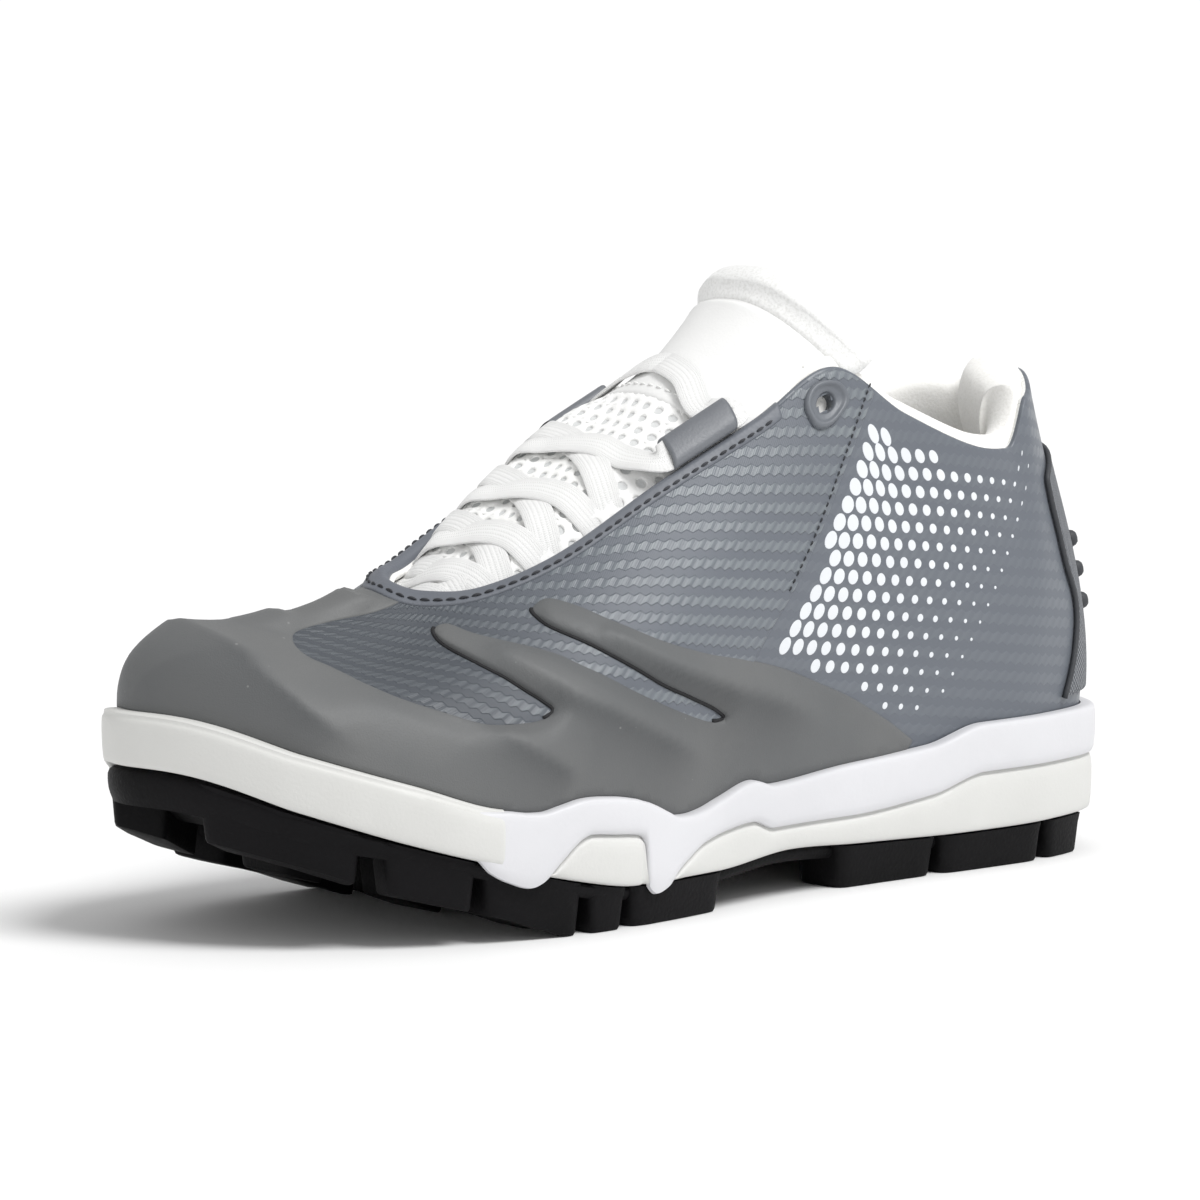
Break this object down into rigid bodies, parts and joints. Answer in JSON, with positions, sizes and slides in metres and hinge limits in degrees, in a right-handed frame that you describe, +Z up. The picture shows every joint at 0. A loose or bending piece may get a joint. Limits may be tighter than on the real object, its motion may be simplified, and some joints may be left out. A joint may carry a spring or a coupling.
{
  "type": "softball cleat",
  "caption": "Left softball cleat with a hollow woven upper, moulded toe guard, padded tongue and collar, framed foam midsole and a lugged rubber outsole.",
  "frame": {"origin": "middle of the bounding box on the floor plane under the lugs", "axes": "+X to the wearer's left (lateral side), +Y from toe to heel, +Z up"},
  "size_m": [0.1034, 0.2838, 0.1474],
  "materials": {
    "upper_weave": "matte woven synthetic",
    "guard_rubber": "matte moulded rubber",
    "midsole_foam": "matte moulded foam",
    "frame_white": "satin moulded plastic",
    "outsole_rubber": "satin moulded rubber",
    "insole_foam": "matte sheet",
    "tongue_white": "matte mesh",
    "lining_fleece": "brushed pile",
    "strip_mesh": "matte mesh",
    "eyelet_plastic": "matte moulded plastic",
    "tunnel_fabric": "matte folded strip",
    "lace_white": "flat woven lace"
  },
  "bodies": {
    "root": {"upper": "upper_weave", "midsole": "midsole_foam", "midsole_frame": "frame_white", "outsole": "outsole_rubber", "insole": "insole_foam", "tongue": "tongue_white", "collar_lining": "lining_fleece", "toe_guard": "guard_rubber", "heel_strip": "strip_mesh", "eyelet_lateral": "eyelet_plastic", "eyelet_medial": "eyelet_plastic", "tunnel_lateral": "tunnel_fabric", "tunnel_medial": "tunnel_fabric", "lace": "lace_white"}
  },
  "joints": []
}
